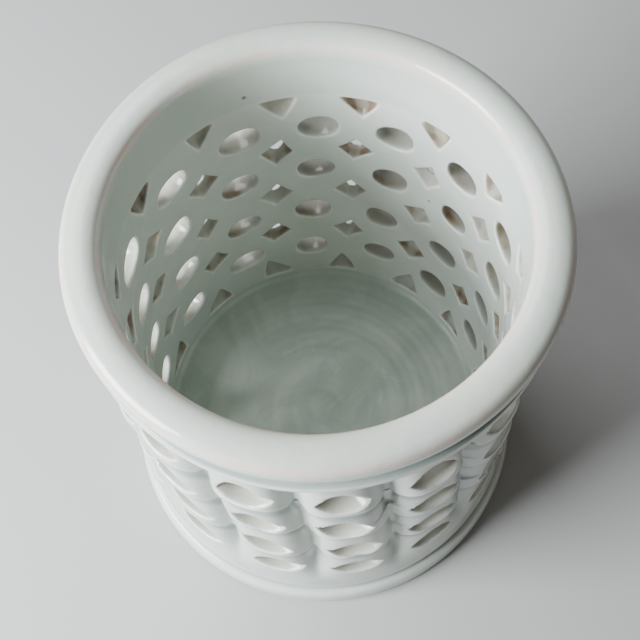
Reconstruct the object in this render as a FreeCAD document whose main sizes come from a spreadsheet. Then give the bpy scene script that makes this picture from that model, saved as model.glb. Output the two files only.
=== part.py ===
import FreeCAD, Part
import math
import os
import Sketcher

# Openwork porcelain brush pot. Millimetres, +Z up, origin at the centre of the
# resting circle under the foot. The pot is built ring on ring, the way it is
# thrown and luted: foot, floor, base moulding, pierced wall, neck and lip.

doc = FreeCAD.newDocument("brush_pot")

SIZES = [
    ("pot_height", 128.0),          # crown of the lip
    ("lip_radius", 58.0),           # widest part of the rolled lip
    ("well_radius", 48.4),          # inside of the wall and of the mouth
    ("lip_edge_drop", 3.0),         # how far the lip falls from its crown to its edges
    ("lip_crown_width", 2.6),       # level part of the lip's crown
    ("lip_underside", 117.8),       # top of the groove under the lip
    ("lip_cheek", 2.0),             # height of the lip's slanting underside
    ("groove_radius", 56.0),        # bottom of the groove under the lip
    ("bead_radius", 57.3),          # small bead under that groove
    ("bead_middle", 113.7),         # height of the bead's middle
    ("bead_half", 1.2),             # half the bead's height
    ("bead_round", 0.7),
    ("groove_rise", 1.0),           # slant from the bead into the groove
    ("wall_top", 109.5),            # upper end of the openwork
    ("shoulder_radius", 56.4),      # outer face where the wall meets the neck
    ("cove_radius", 55.2),          # hollow just under the neck
    ("cove_drop", 2.6),
    ("crest_radius", 57.3),         # sharp crest under a row of eyes
    ("undercut_radius", 55.7),      # hollow just under a crest
    ("undercut_drop", 1.7),
    ("joint_radius", 56.0),         # outer face where two tiers meet
    ("crest_below_eye", 6.4),       # a crest lies this far under its eyes' middles
    ("waist_radius", 55.5),         # where the lowest eyes meet the base bevel
    ("waist_height", 24.0),
    ("wall_bottom", 12.5),          # lower end of the pierced wall
    ("bevel_radius", 57.4),         # foot of the base bevel
    ("moulding_groove", 57.0),      # groove above the foot ring
    ("moulding_rise", 1.2),
    ("moulding_bottom", 8.5),       # top of the foot ring
    ("foot_radius", 59.8),
    ("foot_shoulder", 58.8),        # upper edge of the foot's flared band
    ("foot_shoulder_height", 6.8),
    ("foot_inner_radius", 45.0),
    ("foot_chamfer", 1.0),
    ("floor_top", 10.7),            # floor inside the well
    ("floor_underside", 2.5),       # recessed underside of the floor
    ("floor_fillet", 1.8),
    ("floor_edge", 0.3),            # lip of the floor's rounded corner against the wall
    ("columns", 14.0),              # eyes round the pot
    ("first_turn", -0.7),           # where the top row's eyes start, in degrees round +Z
    ("row_twist", 1.4),             # each row is turned this many degrees from the one above
    ("eye_width", 11.6),            # an eye where it meets the well
    ("eye_height", 10.4),
    ("eye_mouth_width", 14.0),      # the same eye at the outer face
    ("eye_mouth_height", 10.0),
    ("star_width", 11.0),           # a star where it meets the well
    ("star_height", 12.2),
    ("star_waist", 2.0),            # half width of the star across its hollow sides
    ("star_spot", 0.2),             # share of the star left where it reaches the outer face
    ("upper_triangle_height", 9.0),
    ("lower_triangle_height", 12.0),
    ("triangle_width", 10.0),
    ("triangle_margin", 0.9),       # clay left between a triangle and the ring next to it
    ("flute_radius", 6.2),          # round hollow down each star column
    ("flute_depth_radius", 51.6),   # nearest the flute comes to the axis
    ("flute_bottom", 19.0),         # lower end of the flutes, on the base bevel
    ("eye_row_first", 95.1),        # heights of the four rows of eyes
    ("eye_row_second", 74.2),
    ("eye_row_third", 52.0),
    ("eye_row_fourth", 29.9),
]
EYE_ROWS = ["eye_row_first", "eye_row_second", "eye_row_third", "eye_row_fourth"]

sheet = doc.addObject("Spreadsheet::Sheet", "sizes")
for line, (alias, value) in enumerate(SIZES, start=1):
    sheet.set(f"A{line}", alias)
    sheet.set(f"B{line}", str(value))
    sheet.setAlias(f"B{line}", alias)
doc.recompute()


def size(alias):
    """The value that the sheet holds for one size."""
    return float(getattr(sheet, alias))


def evaluate(rule):
    """The value of a rule such as 'sizes.lip_radius - 2' with the sheet's numbers put in."""
    return float(sheet.evalExpression(rule))


def origin_feature(body, role):
    """One of a body's own origin planes or axes."""
    for feature in body.Origin.OriginFeatures:
        if feature.Role == role:
            return feature
    raise ValueError(role)


def new_body(label):
    body = doc.addObject("PartDesign::Body", label)
    body.Label = label
    return body


def new_sketch(body, name, turn=0.0, out=0.0):
    """A sketch on an upright plane, turned about Z by some degrees and moved out from the axis."""
    sketch = body.newObject("Sketcher::SketchObject", name)
    sketch.AttachmentSupport = [(origin_feature(body, "XZ_Plane"), "")]
    sketch.MapMode = "FlatFace"
    turned = FreeCAD.Rotation(FreeCAD.Vector(0, 1, 0), turn)
    moved = turned.multVec(FreeCAD.Vector(0, 0, out))
    sketch.AttachmentOffset = FreeCAD.Placement(moved, turned)
    return sketch


def place_point(sketch, edge, end, radius, height, label):
    """Bind one end of a sketch edge to a radius and a height, as sheet expressions."""
    for constraint, axis, rule in (("DistanceX", "x", radius), ("DistanceY", "y", height)):
        name = f"{label}_{axis}"
        here = sketch.getPoint(edge, end)
        value = here.x if axis == "x" else here.y
        sketch.addConstraint(Sketcher.Constraint(constraint, -1, 1, edge, end, value))
        sketch.renameConstraint(sketch.ConstraintCount - 1, name)
        sketch.setExpression(f"Constraints.{name}", rule)


def closed_outline(sketch, corners):
    """A closed outline of straight edges. Each corner is a radius rule and a height rule."""
    points = []
    for radius, height in corners:
        x = evaluate(radius)
        y = evaluate(height)
        points.append(FreeCAD.Vector(x, y, 0))
    count = len(points)
    for index in range(count):
        line = Part.LineSegment(points[index], points[(index + 1) % count])
        sketch.addGeometry(line, False)
    for index in range(count):
        following = (index + 1) % count
        sketch.addConstraint(Sketcher.Constraint("Coincident", index, 2, following, 1))
    for index, (radius, height) in enumerate(corners):
        place_point(sketch, index, 1, radius, height, f"corner{index}")


def revolve(body, sketch, name):
    ring = body.newObject("PartDesign::Revolution", name)
    ring.Profile = sketch
    ring.ReferenceAxis = (sketch, ["V_Axis"])
    ring.Angle = 360.0
    doc.recompute()
    return ring


def round_edges(body, base, name, edges, radius):
    fillet = body.newObject("PartDesign::Fillet", name)
    fillet.Base = (base, edges)
    fillet.setExpression("Radius", radius)
    doc.recompute()
    return fillet


def circle_edges(feature, radius, height):
    """Names of a feature's full circles at the given radius and height."""
    found = []
    for index, edge in enumerate(feature.Shape.Edges, start=1):
        curve = edge.Curve
        if not isinstance(curve, Part.Circle):
            continue
        if abs(curve.Radius - radius) < 0.01 and abs(curve.Center.z - height) < 0.01:
            found.append(f"Edge{index}")
    return found


def foot_ring():
    """The glazed foot: a flared band with a chamfered bare edge to rest on."""
    body = new_body("foot_ring")
    sketch = new_sketch(body, "foot_profile")
    closed_outline(sketch, [
        ("sizes.foot_inner_radius + sizes.foot_chamfer", "0"),
        ("sizes.foot_radius - sizes.foot_chamfer", "0"),
        ("sizes.foot_radius", "sizes.foot_chamfer"),
        ("sizes.foot_shoulder", "sizes.foot_shoulder_height"),
        ("sizes.moulding_groove", "sizes.moulding_bottom"),
        ("sizes.foot_inner_radius", "sizes.moulding_bottom"),
        ("sizes.foot_inner_radius", "sizes.foot_chamfer"),
    ])
    revolve(body, sketch, "foot_turn")
    return body


def floor_disc():
    """The floor of the well: a disc whose upper flange sits on the foot ring."""
    body = new_body("floor_disc")
    sketch = new_sketch(body, "floor_profile")
    closed_outline(sketch, [
        ("0", "sizes.floor_underside"),
        ("sizes.foot_inner_radius", "sizes.floor_underside"),
        ("sizes.foot_inner_radius", "sizes.moulding_bottom"),
        ("sizes.well_radius", "sizes.moulding_bottom"),
        ("sizes.well_radius", "sizes.floor_top + sizes.floor_fillet"),
        ("sizes.well_radius - sizes.floor_edge", "sizes.floor_top + sizes.floor_fillet"),
        ("sizes.well_radius - sizes.floor_edge", "sizes.floor_top"),
        ("0", "sizes.floor_top"),
    ])
    disc = revolve(body, sketch, "floor_turn")
    corner = circle_edges(disc, size("well_radius") - size("floor_edge"), size("floor_top"))
    round_edges(body, disc, "floor_round", corner, "sizes.floor_fillet - 0.1")
    return body


def base_moulding():
    """The ring between the groove above the foot and the pierced wall."""
    body = new_body("base_moulding")
    sketch = new_sketch(body, "moulding_profile")
    closed_outline(sketch, [
        ("sizes.well_radius", "sizes.moulding_bottom"),
        ("sizes.moulding_groove", "sizes.moulding_bottom"),
        ("sizes.bevel_radius", "sizes.moulding_bottom + sizes.moulding_rise"),
        ("sizes.bevel_radius", "sizes.wall_bottom"),
        ("sizes.well_radius", "sizes.wall_bottom"),
    ])
    revolve(body, sketch, "moulding_turn")
    return body


def neck_band():
    """The plain band under the lip, with a small bead outside and a flat inside."""
    body = new_body("neck_band")
    sketch = new_sketch(body, "neck_profile")
    closed_outline(sketch, [
        ("sizes.well_radius", "sizes.wall_top"),
        ("sizes.shoulder_radius", "sizes.wall_top"),
        ("sizes.bead_radius", "sizes.bead_middle - sizes.bead_half"),
        ("sizes.bead_radius", "sizes.bead_middle + sizes.bead_half"),
        ("sizes.groove_radius", "sizes.bead_middle + sizes.bead_half + sizes.groove_rise"),
        ("sizes.groove_radius", "sizes.lip_underside"),
        ("sizes.well_radius", "sizes.lip_underside"),
    ])
    ring = revolve(body, sketch, "neck_turn")
    bead = []
    for side in (-1, 1):
        edge_height = size("bead_middle") + side * size("bead_half")
        bead += circle_edges(ring, size("bead_radius"), edge_height)
    round_edges(body, ring, "bead_round", bead, "sizes.bead_round")
    return body


def rim_lip():
    """The broad rolled lip, slightly domed, with soft inner and outer edges."""
    body = new_body("rim_lip")
    sketch = new_sketch(body, "lip_profile")
    crown = "sizes.well_radius * 0.5 + sizes.lip_radius * 0.5"
    closed_outline(sketch, [
        ("sizes.well_radius", "sizes.lip_underside"),
        ("sizes.groove_radius", "sizes.lip_underside"),
        ("sizes.lip_radius", "sizes.lip_underside + sizes.lip_cheek"),
        ("sizes.lip_radius", "sizes.pot_height - sizes.lip_edge_drop"),
        (f"{crown} + sizes.lip_crown_width", "sizes.pot_height"),
        (f"{crown} - sizes.lip_crown_width", "sizes.pot_height"),
        ("sizes.well_radius", "sizes.pot_height - sizes.lip_edge_drop"),
    ])
    ring = revolve(body, sketch, "lip_turn")
    edge_height = size("pot_height") - size("lip_edge_drop")
    soft = circle_edges(ring, size("lip_radius"), edge_height)
    soft += circle_edges(ring, size("well_radius"), edge_height)
    round_edges(body, ring, "lip_round", soft, "sizes.lip_edge_drop")
    return body


CLEAR_OF_WALL = 1.5       # how far a tapered cut starts or ends beyond the clay
FLUTE_CLEARANCE = 0.4     # how far a star's cut passes the bottom of its flute


def around(body, feature, name):
    """Repeat one cut round the pot, once for every column."""
    pattern = body.newObject("PartDesign::PolarPattern", name)
    pattern.Originals = [feature]
    pattern.Axis = (origin_feature(body, "Z_Axis"), [""])
    pattern.Angle = 360.0
    pattern.setExpression("Occurrences", "sizes.columns")
    pattern.Refine = False
    body.Tip = pattern
    doc.recompute()
    return pattern


def radial_cut(body, sketch, name):
    """Cut a sketch through one side of the wall, along the radius it faces."""
    pocket = body.newObject("PartDesign::Pocket", name)
    pocket.Profile = sketch
    pocket.Type = "Length"
    pocket.setExpression("Length", "sizes.lip_radius + 10")
    pocket.Refine = False
    pocket.Reversed = True
    doc.recompute()
    return pocket


def tapered_cut(body, inner, outer, name):
    """Cut from an outline at the well to a different outline further out."""
    loft = body.newObject("PartDesign::SubtractiveLoft", name)
    loft.Profile = inner
    loft.Sections = [outer]
    loft.Ruled = True
    loft.Refine = False
    doc.recompute()
    return loft


def place_height(sketch, edge, end, rule):
    value = evaluate(rule)
    sketch.addConstraint(Sketcher.Constraint("DistanceY", -1, 1, edge, end, value))
    sketch.renameConstraint(sketch.ConstraintCount - 1, "row_height")
    sketch.setExpression("Constraints.row_height", rule)


def add_length(sketch, edge, rule, name):
    sketch.addConstraint(Sketcher.Constraint("Distance", edge, evaluate(rule)))
    sketch.renameConstraint(sketch.ConstraintCount - 1, name)
    sketch.setExpression(f"Constraints.{name}", rule)


def eye_sketch(body, name, turn, out, row, width, height):
    """One oval, centred on the plane's upright axis at the row's height."""
    sketch = new_sketch(body, name, turn, out)
    middle = FreeCAD.Vector(0, size(row), 0)
    major_end = FreeCAD.Vector(evaluate(width) / 2, size(row), 0)
    minor_end = FreeCAD.Vector(0, size(row) + evaluate(height) / 2, 0)
    sketch.addGeometry(Part.Ellipse(major_end, minor_end, middle), False)
    sketch.exposeInternalGeometry(0)
    sketch.addConstraint(Sketcher.Constraint("PointOnObject", 0, 3, -2))
    place_height(sketch, 0, 3, f"sizes.{row}")
    sketch.addConstraint(Sketcher.Constraint("Horizontal", 1))
    add_length(sketch, 1, width, "across")
    add_length(sketch, 2, height, "upright")
    return sketch


def eye_cut(body, name, turn, row):
    """An oval eye that widens from the well to the outer face."""
    near = size("well_radius") - CLEAR_OF_WALL
    far = size("crest_radius") + CLEAR_OF_WALL
    inner = eye_sketch(body, f"{name}_inner", turn, near, row, "sizes.eye_width", "sizes.eye_height")
    outer = eye_sketch(body, f"{name}_outer", turn, far, row, "sizes.eye_mouth_width", "sizes.eye_mouth_height")
    return tapered_cut(body, inner, outer, name)


def star_corners(middle, share):
    """Four points with hollow sides between them, as rules about a middle height."""
    width = f"sizes.star_width * 0.5 * {share}"
    height = f"sizes.star_height * 0.5 * {share}"
    waist = f"sizes.star_waist * {share}"
    return [
        (width, middle),
        (waist, f"{middle} + {waist}"),
        ("0", f"{middle} + {height}"),
        (f"-{waist}", f"{middle} + {waist}"),
        (f"-{width}", middle),
        (f"-{waist}", f"{middle} - {waist}"),
        ("0", f"{middle} - {height}"),
        (waist, f"{middle} - {waist}"),
    ]


def star_cut(body, name, turn, middle):
    """A four-pointed star at the well that closes to a small spot in the bottom of the flute."""
    near = size("well_radius") - CLEAR_OF_WALL
    far = size("flute_depth_radius") + FLUTE_CLEARANCE
    depth = size("flute_depth_radius") - size("well_radius")
    taper = (1 - size("star_spot")) / depth
    inner = new_sketch(body, f"{name}_inner", turn, near)
    closed_outline(inner, star_corners(middle, 1 + taper * CLEAR_OF_WALL))
    outer = new_sketch(body, f"{name}_outer", turn, far)
    closed_outline(outer, star_corners(middle, size("star_spot") - taper * FLUTE_CLEARANCE))
    return tapered_cut(body, inner, outer, name)


def flute_cut(body, turn):
    """A leaning round bar that cuts one upright hollow, following the rows' twist."""
    flute = body.newObject("PartDesign::SubtractiveCylinder", "flute")
    flute.AttachmentSupport = [(origin_feature(body, "XY_Plane"), "")]
    flute.MapMode = "FlatFace"
    flute.setExpression("Radius", "sizes.flute_radius")
    flute.setExpression("Height", "sizes.wall_top - sizes.flute_bottom + 4")
    flute.Refine = False
    reach = size("flute_depth_radius") + size("flute_radius")
    rise = size("eye_row_first") - size("eye_row_fourth")
    sideways = math.radians(3 * size("row_twist")) * reach
    lean = math.degrees(math.atan2(sideways, rise))
    middle = (size("eye_row_first") + size("eye_row_fourth")) / 2
    middle_turn = turn + 1.5 * size("row_twist")
    to_foot = middle - size("flute_bottom")
    upright = FreeCAD.Rotation(FreeCAD.Vector(1, 0, 0), lean)
    foot = upright.multVec(FreeCAD.Vector(0, 0, -to_foot))
    local = FreeCAD.Placement(FreeCAD.Vector(reach, 0, middle) + foot, upright)
    about_axis = FreeCAD.Rotation(FreeCAD.Vector(0, 0, 1), middle_turn + 90)
    flute.AttachmentOffset = FreeCAD.Placement(FreeCAD.Vector(0, 0, 0), about_axis) * local
    doc.recompute()
    return flute


def middle_between(row):
    """Rule for the height halfway between a row of eyes and the row below it."""
    return f"sizes.{EYE_ROWS[row]} * 0.5 + sizes.{EYE_ROWS[row + 1]} * 0.5"


def tier_outline(row):
    """Profile of one tier: a sharp crest under its eyes, hollow below it and slanting above it."""
    last = len(EYE_ROWS) - 1
    crest = f"sizes.{EYE_ROWS[row]} - sizes.crest_below_eye"
    outside = []
    if row == last:
        outside.append(("sizes.bevel_radius", "sizes.wall_bottom"))
        outside.append(("sizes.waist_radius", "sizes.waist_height"))
    else:
        outside.append(("sizes.joint_radius", middle_between(row)))
        outside.append(("sizes.undercut_radius", f"{crest} - sizes.undercut_drop"))
        outside.append(("sizes.crest_radius", crest))
    if row == 0:
        outside.append(("sizes.cove_radius", "sizes.wall_top - sizes.cove_drop"))
        outside.append(("sizes.shoulder_radius", "sizes.wall_top"))
    else:
        outside.append(("sizes.joint_radius", middle_between(row - 1)))
    low = ("sizes.well_radius", outside[0][1])
    high = ("sizes.well_radius", outside[-1][1])
    return [low, *outside, high]


def wall_tier(row):
    """One tier of the pierced wall: a ring of eyes, with halves of the stars above and below."""
    label = f"wall_tier_{row + 1}"
    body = new_body(label)
    sketch = new_sketch(body, f"{label}_profile")
    closed_outline(sketch, tier_outline(row))
    revolve(body, sketch, f"{label}_turn")

    start = size("first_turn")
    twist = size("row_twist")
    half_column = 180.0 / size("columns")
    above_turn = start + half_column + (row - 0.5) * twist
    below_turn = start + half_column + (row + 0.5) * twist
    around(body, flute_cut(body, start + half_column), f"{label}_flutes")
    around(body, eye_cut(body, f"{label}_eye", start + row * twist, EYE_ROWS[row]), f"{label}_eyes")

    if row == 0:
        triangle = new_sketch(body, f"{label}_triangle", above_turn)
        closed_outline(triangle, [
            ("-sizes.triangle_width * 0.5", "sizes.wall_top - sizes.triangle_margin"),
            ("0", "sizes.wall_top - sizes.upper_triangle_height"),
            ("sizes.triangle_width * 0.5", "sizes.wall_top - sizes.triangle_margin"),
        ])
        above = radial_cut(body, triangle, f"{label}_above_cut")
    else:
        above = star_cut(body, f"{label}_above_cut", above_turn, middle_between(row - 1))
    around(body, above, f"{label}_above")

    if row == len(EYE_ROWS) - 1:
        triangle = new_sketch(body, f"{label}_triangle", below_turn)
        closed_outline(triangle, [
            ("-sizes.triangle_width * 0.5", "sizes.wall_bottom + sizes.triangle_margin"),
            ("sizes.triangle_width * 0.5", "sizes.wall_bottom + sizes.triangle_margin"),
            ("0", "sizes.wall_bottom + sizes.lower_triangle_height"),
        ])
        below = radial_cut(body, triangle, f"{label}_below_cut")
    else:
        below = star_cut(body, f"{label}_below_cut", below_turn, middle_between(row))
    around(body, below, f"{label}_below")
    return body


PARTS = [foot_ring(), floor_disc(), base_moulding(), neck_band(), rim_lip()]
PARTS += [wall_tier(row) for row in range(len(EYE_ROWS))]
doc.recompute()

for item in doc.Objects:
    if {"Invalid", "Error"} & set(item.State):
        raise RuntimeError(f"{item.Name} failed to rebuild")
for body in PARTS:
    if body.Shape.isNull() or not body.Shape.isValid():
        raise RuntimeError(f"{body.Label} has no valid shape")

os.makedirs("parts", exist_ok=True)
for body in PARTS:
    body.Shape.exportStep(f"parts/{body.Label}.step")
    print(body.Label, round(body.Shape.Volume, 1), len(body.Shape.Solids), body.Shape.BoundBox)
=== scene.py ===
import itertools
import math
import bmesh
import bpy
import numpy as np
from mathutils import Matrix, Vector


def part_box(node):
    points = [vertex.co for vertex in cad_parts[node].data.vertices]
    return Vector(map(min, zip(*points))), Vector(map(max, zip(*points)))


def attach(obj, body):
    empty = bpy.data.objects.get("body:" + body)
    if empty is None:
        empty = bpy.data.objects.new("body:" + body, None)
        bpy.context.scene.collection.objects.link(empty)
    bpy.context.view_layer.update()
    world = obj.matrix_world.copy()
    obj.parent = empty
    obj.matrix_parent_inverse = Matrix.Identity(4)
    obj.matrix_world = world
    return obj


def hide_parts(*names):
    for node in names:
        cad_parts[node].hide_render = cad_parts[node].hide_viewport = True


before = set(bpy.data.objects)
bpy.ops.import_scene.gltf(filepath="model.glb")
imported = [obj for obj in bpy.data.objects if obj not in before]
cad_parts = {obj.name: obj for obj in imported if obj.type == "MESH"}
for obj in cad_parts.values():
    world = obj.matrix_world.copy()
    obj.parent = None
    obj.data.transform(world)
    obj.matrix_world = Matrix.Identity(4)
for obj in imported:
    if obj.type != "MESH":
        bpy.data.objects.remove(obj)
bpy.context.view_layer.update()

MM = 0.001
rng = np.random.default_rng(20)


def top_of(node):
    """Height of a node's top in millimetres, from its box."""
    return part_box(node)[1].z / MM


def half_width(node):
    """A node's greatest radius in millimetres, from its box."""
    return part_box(node)[1].x / MM


# ---------------------------------------------------------------- driving sizes, in millimetres

LIP_RADIUS = half_width("rim_lip")
POT_HEIGHT = top_of("rim_lip")
LIP_BOTTOM = top_of("neck_band")
WALL_TOP = top_of("wall_tier_1")
WALL_BOTTOM = top_of("base_moulding")
TIER_NODES = ("wall_tier_1", "wall_tier_2", "wall_tier_3", "wall_tier_4")
TIER_TOPS = [top_of(node) for node in TIER_NODES]
FOOT_TOP = top_of("foot_ring")
FOOT_RADIUS = half_width("foot_ring")
WELL_RADIUS = half_width("floor_disc")
FLOOR_TOP = 10.7
FLOOR_UNDER = 2.5
FLOOR_FILLET = 1.8
FOOT_INNER = 45.0
FOOT_SHOULDER = 6.2
GROOVE_RADIUS = 56.0
BEAD_RADIUS = 57.3
BEAD_MIDDLE = 113.3
CHEEK_RADIUS = 56.7
NECK_RADIUS = 56.4
BEVEL_RADIUS = 57.4
MOULDING_GROOVE = 56.5

COLUMNS = 14
COLUMN_TURN = 2 * math.pi / COLUMNS
FIRST_TURN = math.radians(-0.7) + math.pi / 2
ROW_TWIST = math.radians(1.5)
NEAR_TWIST = math.radians(0.25)
ROWS = np.array([95.1, 74.2, 52.0, 29.9])
ROW_SLIP = np.radians([0.0, 0.3, 0.9, 0.0])
ROW_PITCH = (ROWS[0] - ROWS[-1]) / 3
CREST_BELOW_EYE = 6.4
CREST_RADIUS = 57.4
VALLEY_DEPTH = 4.2
VALLEY_DROP = 3.0
VALLEY_FLOOR = 51.2
VALLEY_UNDERCUT = 1.4
VALLEY_SOFT = 0.10
VALLEY_SHARPNESS = 4.0
VALLEY_LOW_END = 16.5
VALLEY_FULL_DEPTH = 34.0
WAIST_HEIGHT = 24.0
COVE_HEIGHT = 4.2
NECK_BLEND = 2.4

# ---------------------------------------------------------------- camera, looking down into the well

camera_data = bpy.data.cameras.new("camera")
camera_data.sensor_width = 36.0
camera_data.lens = 60.58
camera = bpy.data.objects.new("camera", camera_data)
bpy.context.collection.objects.link(camera)
bpy.context.scene.camera = camera


def aim_camera(place, pitch, yaw, roll):
    """Stand the camera at a place, looking along +Y and then pitched down, turned and rolled."""
    forward = Vector((math.sin(yaw) * math.cos(pitch), math.cos(yaw) * math.cos(pitch), -math.sin(pitch)))
    right = Vector((math.cos(yaw), -math.sin(yaw), 0))
    up = right.cross(forward)
    rolled_right = math.cos(roll) * right + math.sin(roll) * up
    rolled_up = -math.sin(roll) * right + math.cos(roll) * up
    turn = Matrix((rolled_right, rolled_up, -forward)).transposed()
    camera.matrix_world = Matrix.Translation(place) @ turn.to_4x4()


aim_camera(
    Vector((0.00145, -0.1184, 0.3365)),
    pitch=math.radians(65.47), yaw=math.radians(-0.25), roll=math.radians(-4.10))


# ---------------------------------------------------------------- small maths helpers

def smooth_step(low, high, x):
    """0 at low and 1 at high, with an eased start and end. The two may be in either order."""
    t = np.clip((x - low) / (high - low), 0.0, 1.0)
    return t * t * (3 - 2 * t)


def smooth_max(a, b, k):
    """The larger of a and b, with the corner between them rounded over about k."""
    overlap = np.maximum(k - np.abs(a - b), 0.0)
    return np.maximum(a, b) + overlap * overlap / (4 * k)


# ---------------------------------------------------------------- the hand-made unevenness

WAVES = [(int(n), rng.uniform(0, 2 * math.pi), rng.uniform(0.4, 1.0)) for n in (2, 3, 5)]
LEAN = np.array([1.45, 0.81])


def hand_made(points):
    """Lean and wobble of the thrown pot, the same for every piece, so that the pieces still meet."""
    x, y, z = points[:, 0], points[:, 1], points[:, 2]
    radius = np.hypot(x, y)
    angle = np.arctan2(y, x)
    rise = np.clip(z / POT_HEIGHT, 0, 1.2)
    swell = np.zeros_like(z)
    for count, phase, weight in WAVES:
        swell += 0.16 * weight * np.sin(count * angle + phase + 1.1 * rise)
    swell *= (0.25 + 0.75 * rise) * np.clip(radius / 40.0, 0, 1)
    out = points.copy()
    out[:, 0] += LEAN[0] * rise + swell * np.cos(angle)
    out[:, 1] += LEAN[1] * rise + swell * np.sin(angle)
    tilt = 0.12 * np.sin(angle + 1.0) + 0.10 * np.sin(2 * angle + 0.4)
    out[:, 2] += tilt * smooth_step(0.1, 1.0, rise)
    return out


# ---------------------------------------------------------------- the pierced wall as one function

EYE_SHIFT = rng.normal(0, 0.35, (COLUMNS, 4, 2))
EYE_SCALE = 1 + rng.normal(0, 0.05, (COLUMNS, 4, 2))
EYE_TILT = rng.normal(0, 0.08, (COLUMNS, 4))
EYE_EGG = rng.normal(0, 0.10, (COLUMNS, 4))
STAR_SHIFT = rng.normal(0, 0.35, (COLUMNS, 5, 2))
STAR_SCALE = 1 + rng.normal(0, 0.07, (COLUMNS, 5, 2))
STAR_TILT = rng.normal(0, 0.09, (COLUMNS, 5))
STAR_SKEW = rng.normal(0, 0.12, (COLUMNS, 5))
CREST_SHIFT = rng.normal(0, 0.45, (COLUMNS, 3))
CREST_BULGE = rng.normal(0, 0.22, (COLUMNS, 3))
VALLEY_VARY = 1 + rng.normal(0, 0.10, (COLUMNS, 3))
SPOT_VARY = rng.uniform(0.75, 1.35, (COLUMNS, 5))
STAIN_VARY = rng.uniform(0.3, 1, (COLUMNS, 5))
EYE_STAIN_VARY = rng.uniform(0, 1, (COLUMNS, 4)) ** 1.5

# Five rows of stars: the middles of the whole ones lie halfway between the rows of eyes, and the
# first and last rows are cut off level by the neck and the base, which leaves triangles.
STAR_ROWS = np.array([WALL_TOP - 2.6, *((ROWS[:-1] + ROWS[1:]) / 2), WALL_BOTTOM + 2.2])
TOP_TRIANGLE_EDGE = WALL_TOP - 1.4
LOW_TRIANGLE_EDGE = WALL_BOTTOM + 1.6
# By row: a star's size at the well and how hollow its sides are (lower is more hollow), then the
# spot that it narrows to: its radius, how far it is lifted, and 1 where clay seals it.
STAR_HALF_HEIGHT = np.array([7.2, 5.7, 5.7, 5.7, 9.8])
STAR_HALF_WIDTH = np.array([4.7, 5.2, 5.2, 5.2, 4.7])
STAR_POWER = np.array([1.0, 0.86, 0.86, 0.86, 1.05])
SPOT_RADIUS = np.array([0.5, 1.6, 1.6, 1.6, 0.3])
SPOT_LIFT = np.array([-3.0, 1.5, 1.5, 1.5, 5.0])
SPOT_CLOSED = np.array([1.0, 0.0, 0.0, 0.0, 1.0])


def column_place(theta, z):
    """How many columns round a point is, following the rows' twist and the columns' uneven spacing."""
    row = (ROWS[0] - z) / ROW_PITCH
    # Spaced by eye: the columns drift by a few degrees, once and twice round the pot.
    uneven = -1.8 * np.cos(theta) - 2.5 * np.sin(theta) - 0.2 * np.cos(2 * theta) + 0.9 * np.sin(2 * theta)
    twist = (ROW_TWIST - NEAR_TWIST * np.sin(theta)) * row
    slip = np.interp(z, ROWS[::-1], ROW_SLIP[::-1]) * (1 - np.sin(theta)) / 2
    return (theta - FIRST_TURN - twist - slip - np.radians(uneven)) / COLUMN_TURN


def between_columns(table, place, row):
    """A table's value at a place between two columns, eased from one to the next."""
    low = np.floor(place).astype(int)
    blend = smooth_step(0.0, 1.0, place - low)
    first = table[low % COLUMNS, row]
    second = table[(low + 1) % COLUMNS, row]
    return first + (second - first) * blend


def valley_shape(place):
    """0 down the middle of an eye column and 1 in the narrow valley between two."""
    across = 2 * np.abs(place - np.round(place))
    cusp = 1 - across
    rounded = 1 - (np.sqrt(cusp * cusp + VALLEY_SOFT ** 2) - VALLEY_SOFT)
    return rounded ** VALLEY_SHARPNESS


# The outer face falls in four sloping bands. Each starts at one radius, under the crest above it,
# and runs out to another at its own crest, from a share of its height and with a bend.
FACE_START = (54.8, 54.7, 54.6, 55.0)
FACE_END = (56.9, 57.3, 57.0, 56.7)
RAMP_FROM = (0.40, 0.06, 0.06, 0.06)
RAMP_BEND = (1.0, 0.6, 0.6, 0.6)
STEP_SHARE = 0.08           # share of a band's height in which it steps in under the crest above
BULGE_REACH = 7.0           # how far up and down a crest's own bulge is felt


def crest_edges(place, valley):
    """Heights that bound the four sloping bands: the wall's top, the three crests and the waist."""
    edges = [np.full(place.shape, WALL_TOP)]
    for row in range(3):
        shift = between_columns(CREST_SHIFT, place, row)
        edges.append(ROWS[row] - CREST_BELOW_EYE - VALLEY_DROP * valley + shift)
    edges.append(np.full(place.shape, WAIST_HEIGHT))
    return edges


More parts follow.
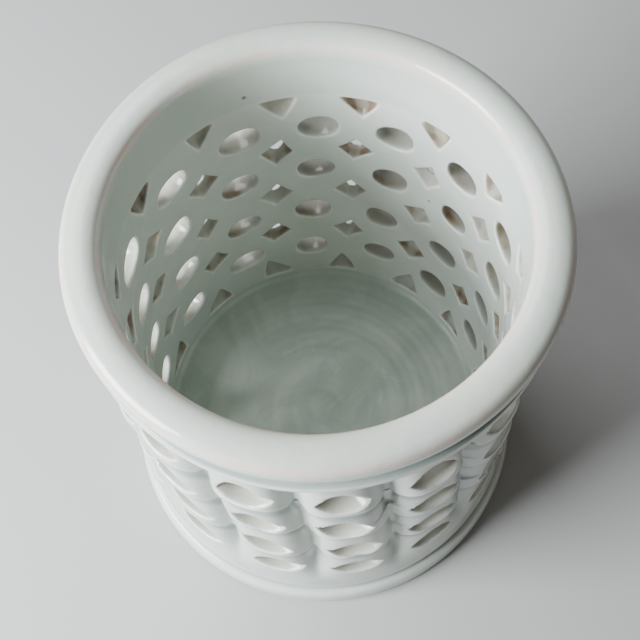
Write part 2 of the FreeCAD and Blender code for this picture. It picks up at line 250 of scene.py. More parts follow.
def wall_outside(theta, z):
    """Radius of the carved outer face: ridges between the rows, valleys between the columns."""
    place = column_place(theta, z)
    valley = valley_shape(place)
    edges = crest_edges(place, valley)
    for band in range(4):
        fallen = np.clip((edges[band] - z) / (edges[band] - edges[band + 1]), 0.0, 1.0)
        start = FACE_START[band] - VALLEY_UNDERCUT * valley * (band > 0)
        end = FACE_END[band]
        ramp = np.clip((fallen - RAMP_FROM[band]) / (1 - RAMP_FROM[band]), 0.0, 1.0) ** RAMP_BEND[band]
        face = start + (end - start) * ramp
        if band == 0:
            radius = face
            continue
        step = (FACE_END[band - 1] - start) * (1 - smooth_step(0.0, STEP_SHARE, fallen))
        radius = np.where(z <= edges[band], face + step, radius)
    for row in range(3):
        near = np.exp(-((z - edges[row + 1]) / BULGE_REACH) ** 2)
        radius = radius + near * between_columns(CREST_BULGE, place, row)
    row = np.clip((ROWS[0] - z) // ROW_PITCH, 0, 2).astype(int)
    depth = VALLEY_DEPTH * between_columns(VALLEY_VARY, place, row) * valley
    into_cove = np.clip((z - WALL_TOP + COVE_HEIGHT) / COVE_HEIGHT, 0, 1)
    depth = depth * np.sqrt(1 - into_cove ** 2) * smooth_step(VALLEY_LOW_END, VALLEY_FULL_DEPTH, z)
    neck = smooth_step(WALL_TOP - NECK_BLEND, WALL_TOP, z)
    radius = radius + (NECK_RADIUS - radius) * neck
    bevel_slope = (BEVEL_RADIUS - FACE_END[3]) / (WAIST_HEIGHT - WALL_BOTTOM)
    bevel = BEVEL_RADIUS - (z - WALL_BOTTOM) * bevel_slope
    base = smooth_step(WAIST_HEIGHT + 2.5, WAIST_HEIGHT - 2.0, z)
    radius = radius + (bevel - radius) * base
    return smooth_max(radius - depth, VALLEY_FLOOR, 0.8)


def eye_place(theta, z):
    """Which eye a point belongs to, and how far across and up from its middle, tilted with it."""
    place = column_place(theta, z)
    column = np.round(place).astype(int)
    row = np.clip(np.round((ROWS[0] - z) / ROW_PITCH), 0, 3).astype(int)
    key = (column % COLUMNS, row)
    across = (place - column) * COLUMN_TURN * WELL_RADIUS - EYE_SHIFT[key][..., 0]
    up = z - ROWS[row] - EYE_SHIFT[key][..., 1]
    tilt = EYE_TILT[key]
    return key, across + tilt * up, up - tilt * across


def star_place(theta, z):
    """Which star a point belongs to, and how far across and up from its middle, tilted with it."""
    place = column_place(theta, z) - 0.5
    column = np.round(place).astype(int)
    row = np.clip(np.round((ROWS[0] - z) / ROW_PITCH + 0.5), 0, 4).astype(int)
    key = (column % COLUMNS, row)
    across = (place - column) * COLUMN_TURN * WELL_RADIUS - STAR_SHIFT[key][..., 0]
    up = z - STAR_ROWS[row] - STAR_SHIFT[key][..., 1]
    tilt = STAR_TILT[key]
    across, up = across + tilt * up, up - tilt * across
    return key, across + STAR_SKEW[key] * np.abs(up), up


EYE_HALF_WIDTH = 5.35
EYE_HALF_HEIGHT = 4.65
EYE_WIDENING = 1.25
EYE_HEIGHTENING = 0.55
EYE_DROOP = 2.6
EYE_ROUNDNESS = 2.2
EYE_REACH = 4.8             # turns an eye's depth as a share into roughly millimetres
STAR_REACH = 0.72           # the same for a star, as a share of its smaller half size


def eye_hole(theta, z, r):
    """Positive inside an eye: an oval inside the pot that opens to a pointed almond outside."""
    key, across, up = eye_place(theta, z)
    out = smooth_step(WELL_RADIUS + 2.0, CREST_RADIUS - 1.0, r)
    half_w = (EYE_HALF_WIDTH + EYE_WIDENING * out) * EYE_SCALE[key][..., 0]
    half_h = (EYE_HALF_HEIGHT + EYE_HEIGHTENING * out) * EYE_SCALE[key][..., 1]
    up = up + out * (0.1 + EYE_DROOP * (across / half_w) ** 2)
    egg = 1 + EYE_EGG[key] * across / half_w
    size = np.abs(across / half_w) ** EYE_ROUNDNESS + np.abs(up / (half_h * egg)) ** EYE_ROUNDNESS
    oval = 1 - (size + 1e-9) ** (1 / EYE_ROUNDNESS)
    almond = 1 - (across / (half_w * 1.05)) ** 2 - np.abs(up) / half_h
    return (oval * (1 - out) + 0.8 * almond * out) * EYE_REACH


STAR_DEPTH = 2.6
SPOT_POWER = 1.9
CORNER_SOFT = 0.05
UNCUT = 9.0                 # stands for no cutting off: more than any star's own depth


def star_hole(theta, z, r):
    """Positive inside a star: four hollow sides at the well, closing to a small spot outside."""
    key, across, up = star_place(theta, z)
    row = key[1]
    deep = np.clip((r - WELL_RADIUS - 0.3) / STAR_DEPTH, 0.0, 1.0) ** 0.8
    spot = SPOT_RADIUS[row] * SPOT_VARY[key]
    half_w = STAR_HALF_WIDTH[row] * STAR_SCALE[key][..., 0]
    half_h = STAR_HALF_HEIGHT[row] * STAR_SCALE[key][..., 1]
    half_w = half_w + (spot * 1.15 - half_w) * deep
    half_h = half_h + (spot - half_h) * deep
    up = up - SPOT_LIFT[row] * deep
    power = STAR_POWER[row] + (SPOT_POWER - STAR_POWER[row]) * deep
    size = (np.abs(across / half_w) ** 2 + CORNER_SOFT ** 2) ** (power / 2)
    size = size + (np.abs(up / half_h) ** 2 + CORNER_SOFT ** 2) ** (power / 2)
    gap = (1 - size ** (1 / power)) * np.minimum(half_w, half_h) * STAR_REACH
    gap = gap - 3.0 * smooth_step(0.6, 1.0, deep) * SPOT_CLOSED[row]
    gap = np.minimum(gap, np.where(row == 0, TOP_TRIANGLE_EDGE - z, UNCUT))
    return np.minimum(gap, np.where(row == 4, z - LOW_TRIANGLE_EDGE, UNCUT))


def wall_parts(theta, z, r):
    """The wall's plain shell and its holes, each as a signed distance of a kind."""
    ends = smooth_step(WALL_BOTTOM, WALL_BOTTOM + 6, z) * smooth_step(WALL_TOP, WALL_TOP - 6, z)
    inside = WELL_RADIUS + 0.11 * ends * (np.sin(5 * theta + z / 9) + np.sin(9 * theta - z / 6))
    shell = np.maximum(r - wall_outside(theta, z), inside - r)
    holes = np.maximum(eye_hole(theta, z, r), star_hole(theta, z, r))
    return shell, holes


def softness(r):
    """How widely the glaze rounds the holes' edges: broadly at the well, crisply outside."""
    return 0.6 - 0.15 * smooth_step(WELL_RADIUS + 2, CREST_RADIUS - 3, r)


def wall_field(theta, z, r):
    """Negative inside the fired clay, positive in the air."""
    shell, holes = wall_parts(theta, z, r)
    return smooth_max(shell, holes, softness(r))


# ---------------------------------------------------------------- turning the function into a mesh

def surface_net(field, axes):
    """A quad mesh on a field's zero surface. The first axis closes on itself.

    Each grid cell that the surface passes through gets one point, the mean of the places where the
    surface crosses its edges. Each grid edge with one end inside gets one quad between four cells.
    """
    inside = field < 0
    shape = field.shape
    rounds = [field, np.roll(field, -1, axis=0)]
    corner = {}
    for a, b, c in itertools.product((0, 1), repeat=3):
        corner[a, b, c] = rounds[a][:, b:shape[1] - 1 + b, c:shape[2] - 1 + c]
    below = sum((value < 0).astype(np.int8) for value in corner.values())
    cells = np.nonzero((below > 0) & (below < 8))
    values = {key: value[cells] for key, value in corner.items()}
    total = np.zeros((len(cells[0]), 3))
    count = np.zeros(len(cells[0]))
    for key, start in values.items():
        for axis in range(3):
            if key[axis]:
                continue
            other = list(key)
            other[axis] = 1
            end = values[tuple(other)]
            crosses = (start < 0) != (end < 0)
            step = np.where(crosses, start / np.where(crosses, start - end, 1.0), 0.0)
            place = np.array(key, float)[None, :] + np.eye(3)[axis][None, :] * step[:, None]
            total += place * crosses[:, None]
            count += crosses
    spot = total / count[:, None] + np.stack(cells, axis=1)
    points = np.empty_like(spot)
    for axis, ticks in enumerate(axes):
        points[:, axis] = ticks[0] + spot[:, axis] * (ticks[1] - ticks[0])
    index = np.full((shape[0], shape[1] - 1, shape[2] - 1), -1)
    index[cells] = np.arange(len(cells[0]))
    quads = []
    around = np.roll(inside, -1, axis=0)

    def corner_index(here, offset):
        i = (here[0] + offset[0]) % shape[0]
        return index[i, here[1] + offset[1], here[2] + offset[2]]

    def add(first, second, corners):
        here = np.nonzero(first != second)
        faces = np.stack([corner_index(here, offset) for offset in corners], axis=1)
        outward = first[here]
        faces[outward] = faces[outward][:, ::-1]
        quads.append(faces)

    core = inside[:, 1:-1, 1:-1]
    add(core, around[:, 1:-1, 1:-1], [(0, 0, 0), (0, 1, 0), (0, 1, 1), (0, 0, 1)])
    add(inside[:, :-1, 1:-1], inside[:, 1:, 1:-1], [(-1, 0, 0), (-1, 0, 1), (0, 0, 1), (0, 0, 0)])
    add(inside[:, 1:-1, :-1], inside[:, 1:-1, 1:], [(-1, 0, 0), (0, 0, 0), (0, 1, 0), (-1, 1, 0)])
    return points, np.concatenate(quads)


def settle(points, steps=3):
    """Slide each point along the field's slope until it lies on the zero surface."""
    reach = 0.02
    arm = 52.0              # radius that turns an angle into a length, inside the wall
    for _ in range(steps):
        theta, z, r = points.T
        value = wall_field(theta, z, r)
        slope_t = wall_field(theta + reach / arm, z, r) - wall_field(theta - reach / arm, z, r)
        slope_z = wall_field(theta, z + reach, r) - wall_field(theta, z - reach, r)
        slope_r = wall_field(theta, z, r + reach) - wall_field(theta, z, r - reach)
        slope = np.stack([slope_t, slope_z, slope_r], axis=1) / (2 * reach)
        steep = (slope ** 2).sum(axis=1) + 0.05
        move = np.clip(value / steep, -0.25, 0.25)
        points = points - move[:, None] * slope * np.array([1 / arm, 1, 1])
    return points


GRID = 0.55
ARC_STEPS = COLUMNS * 46    # steps of the grid round the pot, close to GRID long


def build_wall():
    """Points, faces and colour marks of the whole pierced wall, before it is leaned."""
    theta = np.arange(ARC_STEPS) * 2 * math.pi / ARC_STEPS
    z = np.arange(WALL_BOTTOM - 1.2, WALL_TOP + 1.3, GRID)
    r = np.arange(WELL_RADIUS - 1.5, CREST_RADIUS + 1.8, GRID)
    field = wall_field(theta[:, None, None], z[None, :, None], r[None, None, :])
    points, faces = surface_net(field, (theta, z, r))
    points = settle(points)
    marks = wall_marks(*points.T)
    angle, height, radius = points.T
    flat = np.stack([radius * np.cos(angle), radius * np.sin(angle), height], axis=1)
    return flat, faces, marks


def iron_stain(theta, z, r):
    """How strongly iron stains the stars' side corners and lower edges, and one side of each eye."""
    star = star_hole(theta, z, r) > eye_hole(theta, z, r)
    key, across, up = star_place(theta, z)
    rim = np.exp(-((r - WELL_RADIUS - 1.1) / 1.4) ** 2)
    corners = smooth_step(1.0, 3.4, np.abs(across)) + 0.7 * smooth_step(0.5, -2.5, up)
    star_stain = star * STAIN_VARY[key] * np.clip(corners, 0, 1) * rim
    eye_key, eye_across, eye_up = eye_place(theta, z)
    low_side = smooth_step(1.0, 5.0, -0.8 * eye_up + 0.6 * eye_across)
    eye_rim = np.exp(-((r - WELL_RADIUS - 1.4) / 1.6) ** 2)
    eye_stain = ~star * EYE_STAIN_VARY[eye_key] * low_side * eye_rim
    return 1.3 * (star_stain + eye_stain)


def crest_marks(theta, z):
    """Painted shade under each crest, at the wall's top under the neck and down the valleys, and the glaze's
    thin line along the crest itself, partly a painted highlight.
    """
    place = column_place(theta, z)
    valley = valley_shape(place)
    under = np.zeros_like(z)
    ridge = np.zeros_like(z)
    for crest in crest_edges(place, valley)[1:4]:
        below = crest - z
        # Painted shade in the band from 5.5 to 9 mm under each crest.
        under = np.maximum(under, smooth_step(9.0, 5.5, below) * (below > 0.5))
        # A whitened line on each crest: partly thin glaze, partly a painted highlight.
        ridge = np.maximum(ridge, np.exp(-((below + 0.3) / 0.6) ** 2))
    # Painted shade at the top of the wall, under the neck.
    under = np.maximum(under, smooth_step(WALL_TOP - 3.5, WALL_TOP - 0.5, z))
    # Painted shade down the valleys as well.
    return np.clip(under + 0.35 * valley, 0, 1), ridge


def wall_marks(theta, z, r):
    """Where the glaze runs thin (along the crests partly a painted highlight), where it pools, where shade
    is painted under the crests and down the valleys, how deep in a cut it lies (warm glaze there, darkened
    as painted shade) and where iron stains it.
    """
    shell, holes = wall_parts(theta, z, r)
    edge = 1 - np.clip(np.abs(shell - holes) / (softness(r) * 1.1), 0, 1)
    in_cut = smooth_step(0.0, 0.5, holes - shell)
    inner_face = r < WELL_RADIUS + 0.3
    outside = smooth_step(WELL_RADIUS + 2.0, WELL_RADIUS + 3.5, r)
    hollow, ridge = crest_marks(theta, z)
    behind_rim = smooth_step(WELL_RADIUS + 0.3, WELL_RADIUS + 2.2, r)
    near_face = smooth_step(CREST_RADIUS - 2.9, CREST_RADIUS - 0.9, r)
    return {
        # Along the crests the thin mark is partly thin glaze and partly a painted highlight.
        "thin": np.clip(edge + ridge * outside + 0.25 * inner_face, 0, 1),
        # The deep mark is painted shade under the crests, under the neck and down the valleys, kept off the
        # cuts.
        "deep": (1 - in_cut) * outside * hollow,
        "pool": 0.10 * (1 - edge) * inner_face,
        # The cut mark: warm thin glaze inside the holes, darkened there as painted shade, less near the
        # outer face.
        "cut": in_cut * behind_rim * (1 - 0.5 * near_face),
        "stain": np.clip(in_cut * iron_stain(theta, z, r), 0, 1),
    }


def mesh_piece(name, mesh):
    """A smooth-shaded object from a mesh in millimetres, leaned and wobbled like the rest."""
    count = len(mesh.vertices)
    flat = np.empty(count * 3)
    mesh.vertices.foreach_get("co", flat)
    mesh.vertices.foreach_set("co", (hand_made(flat.reshape(-1, 3)) * MM).ravel())
    mesh.polygons.foreach_set("use_smooth", np.ones(len(mesh.polygons), bool))
    mesh.update()
    piece = bpy.data.objects.new(name, mesh)
    bpy.context.collection.objects.link(piece)
    return piece


def plain_mesh(name, points, faces, marks):
    """A mesh in millimetres that carries its colour marks as one number each per point."""
    mesh = bpy.data.meshes.new(name)
    mesh.from_pydata(points.tolist(), [], [list(face) for face in faces])
    for key, values in marks.items():
        layer = mesh.attributes.new(key, "FLOAT", "POINT")
        layer.data.foreach_set("value", values.astype(np.float32))
    mesh.validate()
    return mesh


def wall_band(name, points, faces, marks, low, high):
    """One tier of the wall, cut level from the whole at two heights and closed where it was cut."""
    margin = 2 * GRID
    height = points[:, 2]
    keep = ((height[faces] > low - margin) & (height[faces] < high + margin)).all(axis=1)
    faces = faces[keep]
    used, packed = np.unique(faces, return_inverse=True)
    faces = packed.reshape(faces.shape)
    marks = {key: values[used] for key, values in marks.items()}
    mesh = plain_mesh(name, points[used], faces, marks)
    work = bmesh.new()
    work.from_mesh(mesh)
    for level, normal, drop_low in ((low, 1, True), (high, 1, False)):
        geometry = work.verts[:] + work.edges[:] + work.faces[:]
        bmesh.ops.bisect_plane(
            work, geom=geometry, dist=1e-5, plane_co=(0, 0, level), plane_no=(0, 0, normal),
            clear_inner=drop_low, clear_outer=not drop_low)
    for level, facing in ((low, -1), (high, 1)):
        rim = [edge for edge in work.edges
               if edge.is_boundary and all(abs(corner.co.z - level) < 1e-3 for corner in edge.verts)]
        bmesh.ops.triangle_fill(work, edges=rim, use_beauty=False, normal=(0, 0, facing))
        for edge in rim:
            edge.smooth = False
    work.to_mesh(mesh)
    work.free()
    return mesh_piece(name, mesh)


# ---------------------------------------------------------------- turned pieces

def curve(points, steps=6):
    """A smooth line through points of a profile. The ends are kept."""
    points = [np.array(point, float) for point in points]
    padded = [2 * points[0] - points[1], *points, 2 * points[-1] - points[-2]]
    out = []
    for before, start, end, after in zip(padded, padded[1:], padded[2:], padded[3:]):
        for step in range(steps):
            t = step / steps
            spot = 2 * start + (end - before) * t
            spot = spot + (2 * before - 5 * start + 4 * end - after) * t ** 2
            spot = spot + (3 * start - before - 3 * end + after) * t ** 3
            out.append(tuple(spot / 2))
    out.append(tuple(points[-1]))
    return out


def turned(name, profile, mark_rule, relief=None, segments=420):
    """A closed ring or disc: a profile of radius and height turned round the axis."""
    angles = np.arange(segments) * 2 * math.pi / segments
    profile = np.array(profile)
    count = len(profile)
    radius = np.broadcast_to(profile[:, 0], (segments, count))
    height = np.broadcast_to(profile[:, 1], (segments, count))
    angle = np.broadcast_to(angles[:, None], (segments, count))
    if relief:
        height = height + relief(radius, angle, height)
    points = np.stack([radius * np.cos(angle), radius * np.sin(angle), height], axis=2).reshape(-1, 3)
    faces = []
    for i in range(segments):
        here = i * count
        after = (i + 1) % segments * count
        for j in range(count):
            following = (j + 1) % count
            faces.append((here + j, after + j, after + following, here + following))
    marks = mark_rule(radius.ravel(), height.ravel())
    mesh = plain_mesh(name, points, faces, marks)
    mesh.set_sharp_from_angle(angle=math.radians(50))
    return mesh_piece(name, mesh)


def lip_profile():
    """The rolled lip: a nearly flat crown between a soft inner edge and a fuller outer one."""
    outside = [
        (CHEEK_RADIUS, LIP_BOTTOM), (CHEEK_RADIUS + 0.15, LIP_BOTTOM + 1.1),
        (LIP_RADIUS - 0.8, LIP_BOTTOM + 3.0), (LIP_RADIUS - 0.1, POT_HEIGHT - 5.4),
        (LIP_RADIUS, POT_HEIGHT - 3.4), (LIP_RADIUS - 0.5, POT_HEIGHT - 1.8),
        (LIP_RADIUS - 1.7, POT_HEIGHT - 0.7), (LIP_RADIUS - 3.4, POT_HEIGHT - 0.15),
        (LIP_RADIUS - 5.2, POT_HEIGHT), (WELL_RADIUS + 2.6, POT_HEIGHT - 0.25),
        (WELL_RADIUS + 1.2, POT_HEIGHT - 0.9), (WELL_RADIUS + 0.35, POT_HEIGHT - 2.1),
        (WELL_RADIUS, POT_HEIGHT - 4.0), (WELL_RADIUS, POT_HEIGHT - 6.0),
    ]
    return [*curve(outside), (WELL_RADIUS, LIP_BOTTOM)]


def neck_profile():
    """The plain band: a small bead, and above it the groove under the lip."""
    outside = [
        (NECK_RADIUS, WALL_TOP), (NECK_RADIUS + 0.2, WALL_TOP + 0.8),
        (BEAD_RADIUS - 0.35, BEAD_MIDDLE - 1.6),
        (BEAD_RADIUS + 0.05, BEAD_MIDDLE - 0.5), (BEAD_RADIUS + 0.05, BEAD_MIDDLE + 0.5),
        (BEAD_RADIUS - 0.3, BEAD_MIDDLE + 1.3), (GROOVE_RADIUS + 0.1, BEAD_MIDDLE + 1.75),
        (GROOVE_RADIUS - 0.6, BEAD_MIDDLE + 2.3), (GROOVE_RADIUS - 0.55, BEAD_MIDDLE + 2.9),
        (GROOVE_RADIUS + 0.45, BEAD_MIDDLE + 3.5), (CHEEK_RADIUS, LIP_BOTTOM),
    ]
    return [(WELL_RADIUS, WALL_TOP), *curve(outside), (WELL_RADIUS, LIP_BOTTOM)]


def moulding_profile():
    """The ring under the wall, drawn in at its foot to make one side of the groove."""
    outside = [
        (MOULDING_GROOVE, FOOT_TOP), (MOULDING_GROOVE + 0.1, FOOT_TOP + 0.4),
        (BEVEL_RADIUS - 0.25, FOOT_TOP + 0.9), (BEVEL_RADIUS + 0.05, FOOT_TOP + 1.8),
        (BEVEL_RADIUS + 0.1, FOOT_TOP + 2.8), (BEVEL_RADIUS, WALL_BOTTOM),
    ]
    return [(WELL_RADIUS, FOOT_TOP), *curve(outside), (WELL_RADIUS, WALL_BOTTOM)]


def foot_profile():
    """The flared foot: a rounded standing edge, an upright band and a shoulder into the groove."""
    outside = [
        (FOOT_RADIUS - 0.9, 0), (FOOT_RADIUS - 0.25, 0.5), (FOOT_RADIUS, 1.6),
        (FOOT_RADIUS - 0.1, 4.0), (FOOT_RADIUS - 0.5, FOOT_SHOULDER),
        (FOOT_RADIUS - 1.2, 7.3), (FOOT_RADIUS - 2.3, 7.8),
        (MOULDING_GROOVE, FOOT_TOP - 0.4), (MOULDING_GROOVE, FOOT_TOP),
    ]
    under = [(FOOT_INNER, 1.4), (FOOT_INNER + 0.3, 0.5), (FOOT_INNER + 1.0, 0)]
    return [*curve(outside), (FOOT_INNER, FOOT_TOP), *curve(under)]


def floor_profile():
    """The floor: rounded up into the wall, level inside, and recessed below between foot walls."""
    corner = []
    fillet_middle = WELL_RADIUS - FLOOR_FILLET
    for step in range(9):
        turn = math.radians(-90.0 * step / 8)
        radius = fillet_middle + FLOOR_FILLET * math.cos(turn)
        corner.append((radius, FLOOR_TOP + FLOOR_FILLET * (1 + math.sin(turn))))
    inward = [(radius, FLOOR_TOP) for radius in np.arange(45.8, 0.5, -0.8)]
    outward = [(radius, FLOOR_UNDER) for radius in np.arange(0.8, FOOT_INNER - 0.5, 1.6)]
    return [(0.01, FLOOR_UNDER), *outward, (FOOT_INNER, FLOOR_UNDER), (FOOT_INNER, FOOT_TOP),
            (WELL_RADIUS, FOOT_TOP), *corner, *inward, (0.01, FLOOR_TOP)]


INNER_POOL = 0.35


def facing_well(radius):
    return radius < WELL_RADIUS + 0.5


def lip_marks(radius, height):
    """Thin, blushing glaze in a line along both edges of the lip."""
    outer_across = (radius - LIP_RADIUS + 0.7) / 0.8
    outer_up = (height - POT_HEIGHT + 2.0) / 1.4
    inner_across = (radius - WELL_RADIUS - 0.7) / 0.7
    inner_up = (height - POT_HEIGHT + 1.5) / 1.2
    outer = np.exp(-outer_across ** 2 - outer_up ** 2)
    inner = np.exp(-inner_across ** 2 - inner_up ** 2)
    rose = np.maximum(outer, inner)
    inside = INNER_POOL * smooth_step(POT_HEIGHT - 2, POT_HEIGHT - 8, height) * facing_well(radius)
    return {"thin": 0.35 * rose, "rose": rose, "pool": inside}


def neck_marks(radius, height):
    """Painted shade in the groove and under the bead, thin glaze on the bead."""
    inside = facing_well(radius)
    groove = smooth_step(BEAD_MIDDLE + 0.7, BEAD_MIDDLE + 1.6, height)
    under = smooth_step(BEAD_MIDDLE - 1.4, WALL_TOP, height)
    bead = np.exp(-((radius - BEAD_RADIUS) / 0.3) ** 2)
    # Painted shade: the groove and the band under the bead are darkened.
    deep = np.maximum(groove, 0.6 * under) * ~inside
    return {"thin": 0.6 * bead * ~inside, "pool": INNER_POOL * inside, "deep": deep}


def moulding_marks(radius, height):
    """Painted shade in the groove above the foot."""
    inside = facing_well(radius)
    groove = smooth_step(BEVEL_RADIUS - 0.1, MOULDING_GROOVE + 0.3, radius)
    return {"pool": INNER_POOL * inside, "deep": groove * ~inside}


def foot_marks(radius, height):
    """Painted shade in the groove, thin glaze on the shoulder, and bare clay where the foot stands."""
    groove = smooth_step(FOOT_TOP - 1.0, FOOT_TOP - 0.4, height)
    shoulder = np.exp(-((height - FOOT_SHOULDER) / 1.1) ** 2)
    bare = smooth_step(0.55, 0.2, height)
    low_edge = smooth_step(1.6, 0.6, height)
    return {"thin": 0.5 * shoulder + 0.3 * low_edge, "deep": groove, "bare": bare}


FLOOR_BUMPS = [
    (rng.uniform(0, 2 * math.pi), rng.uniform(4, 40), rng.uniform(4, 9), rng.uniform(-0.35, 0.35))
    for _ in range(46)
]


def floor_relief(radius, angle, height):
    """Throwing rings, a faint spiral and soft lumps on the floor, and a rougher underside."""
    x = radius * np.cos(angle)
    y = radius * np.sin(angle)
    lumps = np.zeros_like(x)
    for turn, reach, width, amount in FLOOR_BUMPS:
        away = (x - reach * math.cos(turn)) ** 2 + (y - reach * math.sin(turn)) ** 2
        lumps += amount * np.exp(-away / width ** 2)
    broad_rings = 0.10 * np.sin(radius * 2 * math.pi / 7.5 - angle)
    fine_rings = 0.05 * np.sin(radius * 2 * math.pi / 3.1 - angle)
    rings = broad_rings + fine_rings
    fade = smooth_step(0.0, 6.0, radius) * smooth_step(FOOT_INNER, FOOT_INNER - 4, radius)
    on_top = np.abs(height - FLOOR_TOP) < 0.01
    below = np.abs(height - FLOOR_UNDER) < 0.01
    return fade * ((lumps + rings) * on_top + 0.4 * (rings + lumps) * below)


def floor_marks(radius, height):
    """The glaze pools over the whole floor, and most in its corner."""
    corner = smooth_step(FOOT_INNER - 1, WELL_RADIUS - 1.0, radius)
    return {"pool": INNER_POOL + (1 - INNER_POOL) * corner}


# ---------------------------------------------------------------- glazes

class Nodes:
    """Short names for adding nodes to one material."""

    def __init__(self, name):
        self.material = bpy.data.materials.new(name)
        self.material.use_nodes = True
        self.tree = self.material.node_tree
        self.shader = self.tree.nodes["Principled BSDF"]
        self.place = self.add("ShaderNodeTexCoord").outputs["Object"]

    def add(self, kind):
        return self.tree.nodes.new(kind)

    def link(self, source, target):
        self.tree.links.new(source, target)

    def mark(self, name):
        node = self.add("ShaderNodeAttribute")
        node.attribute_name = name
        return node.outputs["Fac"]

    def noise(self, scale, detail=3.0, rough=0.5, warp=0.0):
        node = self.add("ShaderNodeTexNoise")
        node.inputs["Scale"].default_value = scale
        node.inputs["Detail"].default_value = detail
        node.inputs["Roughness"].default_value = rough
        node.inputs["Distortion"].default_value = warp
        self.link(self.place, node.inputs["Vector"])
        return node.outputs["Fac"]

    def span(self, value, low, high, to_low=0.0, to_high=1.0):
        node = self.add("ShaderNodeMapRange")
        node.interpolation_type = "SMOOTHSTEP"
        node.inputs["From Min"].default_value = low
        node.inputs["From Max"].default_value = high
        node.inputs["To Min"].default_value = to_low
        node.inputs["To Max"].default_value = to_high
        self.link(value, node.inputs["Value"])
        return node.outputs["Result"]

    def maths(self, kind, first, second):
        node = self.add("ShaderNodeMath")
        node.operation = kind
        for index, value in enumerate((first, second)):
            if isinstance(value, (int, float)):
                node.inputs[index].default_value = value
            else:
                self.link(value, node.inputs[index])
        return node.outputs[0]

    def mix(self, amount, first, second):
        node = self.add("ShaderNodeMix")
        node.data_type = "RGBA"
        self.link(amount, node.inputs["Factor"])
        for name, value in (("A", first), ("B", second)):
            socket = [item for item in node.inputs if item.name == name and item.type == "RGBA"][0]
            if isinstance(value, tuple):
                socket.default_value = (*value, 1)
            else:
                self.link(value, socket)
        return [item for item in node.outputs if item.type == "RGBA"][0]

    def bump(self, height, strength, distance):
        node = self.add("ShaderNodeBump")
        node.inputs["Strength"].default_value = strength
        node.inputs["Distance"].default_value = distance
        self.link(height, node.inputs["Height"])
        self.link(node.outputs["Normal"], self.shader.inputs["Normal"])


PALE = (0.555, 0.615, 0.565)
PALE_WARM = (0.59, 0.62, 0.555)
# Whitened glaze where it is thin, also used as a painted highlight along the crests.
THIN_GLAZE_AND_HIGHLIGHT = (0.82, 0.82, 0.79)
ROSE = (0.70, 0.56, 0.49)
POOL = (0.52, 0.61, 0.575)
# Painted shade for the grooves, the band under the bead, the hollows under the crests and the valleys.
PAINTED_SHADE = (0.30, 0.37, 0.35)
# Warm thin glaze inside the cuts, darkened as painted shade.
CUT_TINT_AND_SHADE = (0.39, 0.375, 0.32)
IRON = (0.16, 0.092, 0.055)
OLIVE = (0.24, 0.19, 0.13)
BISQUE = (0.52, 0.40, 0.28)
SPECK = (0.07, 0.045, 0.03)
FOOT_TINT = (0.545, 0.61, 0.565)
FLOOR_DARK = (0.47, 0.535, 0.48)
FLOOR_MIDDLE = (0.60, 0.655, 0.595)
FLOOR_PALE = (0.70, 0.74, 0.69)
FLOOR_CORNER = (0.45, 0.515, 0.455)


def glaze(name, clear, pooled, pooling, gloss):
    """A glossy celadon that whitens where it is thin and as a painted highlight on the crests, deepens where
    it pools, darkens with painted shade in grooves, under crests and inside cuts, and holds a few iron
    specks.
    """
    nodes = Nodes(name)
    drift = nodes.span(nodes.noise(28, 3, 0.55, 0.6), 0.35, 0.68)
    color = nodes.mix(drift, clear, PALE_WARM)
    cloudy = nodes.span(nodes.noise(120, 4, 0.6, 0.4), 0.3, 0.75, 0.55, 1.0)
    depth = nodes.maths("MULTIPLY", nodes.mark("pool"), cloudy)
    color = nodes.mix(nodes.maths("MULTIPLY", depth, pooling), color, pooled)
    worn = nodes.span(nodes.noise(160, 4, 0.65), 0.30, 0.70, 0.45, 1.0)
    # Whitening where the glaze is thin; along the crests it is also a painted highlight.
    color = nodes.mix(nodes.maths("MULTIPLY", nodes.mark("thin"), worn), color, THIN_GLAZE_AND_HIGHLIGHT)
    blush = nodes.span(nodes.noise(90, 5, 0.7), 0.34, 0.62, 0.15, 1.0)
    color = nodes.mix(nodes.maths("MULTIPLY", nodes.mark("rose"), blush), color, ROSE)
    # Painted shade, laid on by the deep mark: grooves, under the bead, under the crests and down the
    # valleys.
    color = nodes.mix(nodes.maths("MULTIPLY", nodes.mark("deep"), 0.9), color, PAINTED_SHADE)
    # Inside the cuts: warm thin glaze, darkened as painted shade.
    color = nodes.mix(nodes.maths("MULTIPLY", nodes.mark("cut"), 0.8), color, CUT_TINT_AND_SHADE)
    blot = nodes.span(nodes.noise(110, 3, 0.5, 0.2), 0.28, 0.60, 0.45, 1.0)
    iron = nodes.mix(nodes.span(nodes.noise(150, 2, 0.5), 0.42, 0.60), OLIVE, IRON)
    color = nodes.mix(nodes.maths("MULTIPLY", nodes.mark("stain"), blot), color, iron)
    cells = nodes.add("ShaderNodeTexVoronoi")
    cells.inputs["Scale"].default_value = 105
    nodes.link(nodes.place, cells.inputs["Vector"])
    dot = nodes.span(cells.outputs["Distance"], 0.045, 0.085, 1.0, 0.0)
    few = nodes.span(nodes.noise(60, 1, 0.5), 0.60, 0.63)
    color = nodes.mix(nodes.maths("MULTIPLY", nodes.maths("MULTIPLY", dot, few), 0.7), color, SPECK)
    color = nodes.mix(nodes.mark("bare"), color, BISQUE)
    nodes.link(color, nodes.shader.inputs["Base Color"])
    sheen = nodes.span(nodes.noise(45, 3, 0.5), 0.3, 0.7, gloss, gloss + 0.10)
    matt = nodes.maths("MULTIPLY", nodes.mark("bare"), 0.55)
    nodes.link(nodes.maths("ADD", sheen, matt), nodes.shader.inputs["Roughness"])
    broad_ripple = nodes.maths("MULTIPLY", nodes.noise(70, 2, 0.5), 1.6)
    ripple = nodes.maths("ADD", nodes.noise(240, 3, 0.5), broad_ripple)
    nodes.bump(ripple, 0.16, 0.0006)
    return nodes.material


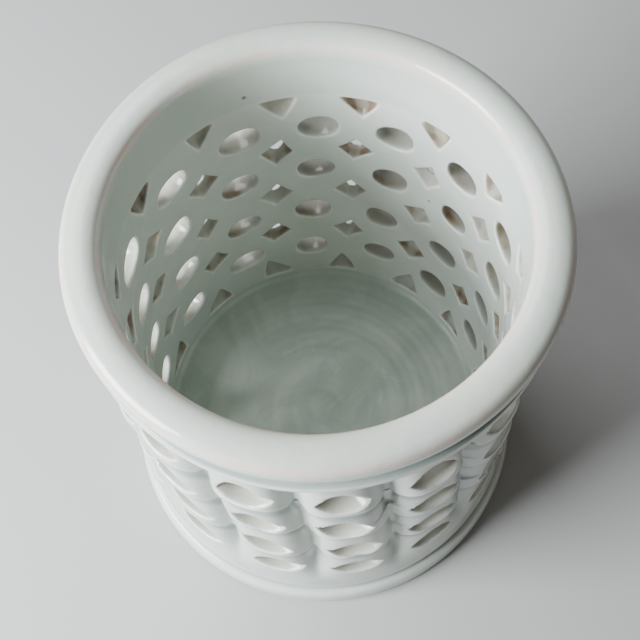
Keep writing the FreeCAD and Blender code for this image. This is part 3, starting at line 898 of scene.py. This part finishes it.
def floor_glaze(name):
    """The pooled glaze of the floor: clouded grey-green streaks drawn round by the throwing."""
    nodes = Nodes(name)
    streak = nodes.span(nodes.noise(34, 5, 0.6, 1.8), 0.36, 0.66)
    color = nodes.mix(streak, FLOOR_DARK, FLOOR_MIDDLE)
    pale = nodes.span(nodes.noise(85, 4, 0.6, 1.2), 0.55, 0.75, 0.0, 0.55)
    color = nodes.mix(pale, color, FLOOR_PALE)
    color = nodes.mix(nodes.maths("MULTIPLY", nodes.mark("pool"), 0.5), color, FLOOR_CORNER)
    nodes.link(color, nodes.shader.inputs["Base Color"])
    nodes.link(nodes.span(nodes.noise(50, 3, 0.5), 0.3, 0.7, 0.10, 0.2), nodes.shader.inputs["Roughness"])
    nodes.bump(nodes.noise(130, 3, 0.5, 0.5), 0.2, 0.0008)
    return nodes.material


PALE_GLAZE = glaze("pale_celadon", PALE, POOL, 0.75, 0.13)
FOOT_GLAZE = glaze("foot_celadon", FOOT_TINT, POOL, 0.8, 0.16)
POOLED_GLAZE = floor_glaze("pooled_celadon")


def in_place(piece, node, material):
    """Glaze a piece, fix it to the pot's body and let it stand in for its node."""
    piece.data.materials.append(material)
    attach(piece, "root")
    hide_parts(node)


# ---------------------------------------------------------------- the pieces

wall_points, wall_faces, marks_of_wall = build_wall()
TIER_BOTTOMS = [*TIER_TOPS[1:], WALL_BOTTOM]
for node, bottom, top in zip(TIER_NODES, TIER_BOTTOMS, TIER_TOPS):
    tier = wall_band(f"{node}_glazed", wall_points, wall_faces, marks_of_wall, bottom, top)
    in_place(tier, node, PALE_GLAZE)

RINGS = [
    ("rim_lip", lip_profile(), lip_marks, "pale_glaze", PALE_GLAZE),
    ("neck_band", neck_profile(), neck_marks, "pale_glaze", PALE_GLAZE),
    ("base_moulding", moulding_profile(), moulding_marks, "pale_glaze", PALE_GLAZE),
    ("foot_ring", foot_profile(), foot_marks, "foot_glaze", FOOT_GLAZE),
]
for node, profile, mark_rule, slot, material in RINGS:
    in_place(turned(f"{node}_glazed", profile, mark_rule), node, material)
floor_piece = turned("floor_disc_glazed", floor_profile(), floor_marks, floor_relief, segments=300)
in_place(floor_piece, "floor_disc", POOLED_GLAZE)

# ---------------------------------------------------------------- stage and light

bpy.ops.mesh.primitive_plane_add(size=6.0, location=(0, 0, -0.0002))
ground = bpy.context.object
ground.name = "ground"
ground_material = bpy.data.materials.new("ground")
ground_material.use_nodes = True
ground_shader = ground_material.node_tree.nodes["Principled BSDF"]
ground_shader.inputs["Base Color"].default_value = (0.42, 0.42, 0.42, 1)
ground_shader.inputs["Roughness"].default_value = 0.6
ground.data.materials.append(ground_material)


def area_light(name, place, target, size, power, color):
    """A soft rectangular light at a place, turned to a target."""
    data = bpy.data.lights.new(name, "AREA")
    data.shape = "RECTANGLE"
    data.size, data.size_y = size
    data.energy = power
    data.color = color
    light = bpy.data.objects.new(name, data)
    bpy.context.collection.objects.link(light)
    light.location = place
    direction = Vector(target) - Vector(place)
    light.rotation_euler = direction.to_track_quat("-Z", "Y").to_euler()


area_light("window", (-0.50, -0.17, 0.35), (0, 0, 0.08), (0.34, 0.30), 15.5, (0.94, 0.98, 1.0))
area_light("sky", (-0.36, 0.46, 0.80), (0, 0, 0.06), (0.5, 0.45), 4.6, (0.95, 0.98, 1.0))
world = bpy.data.worlds.new("studio")
bpy.context.scene.world = world
world.use_nodes = True
world.node_tree.nodes["Background"].inputs["Color"].default_value = (1.0, 0.96, 0.89, 1)
world.node_tree.nodes["Background"].inputs["Strength"].default_value = 0.16
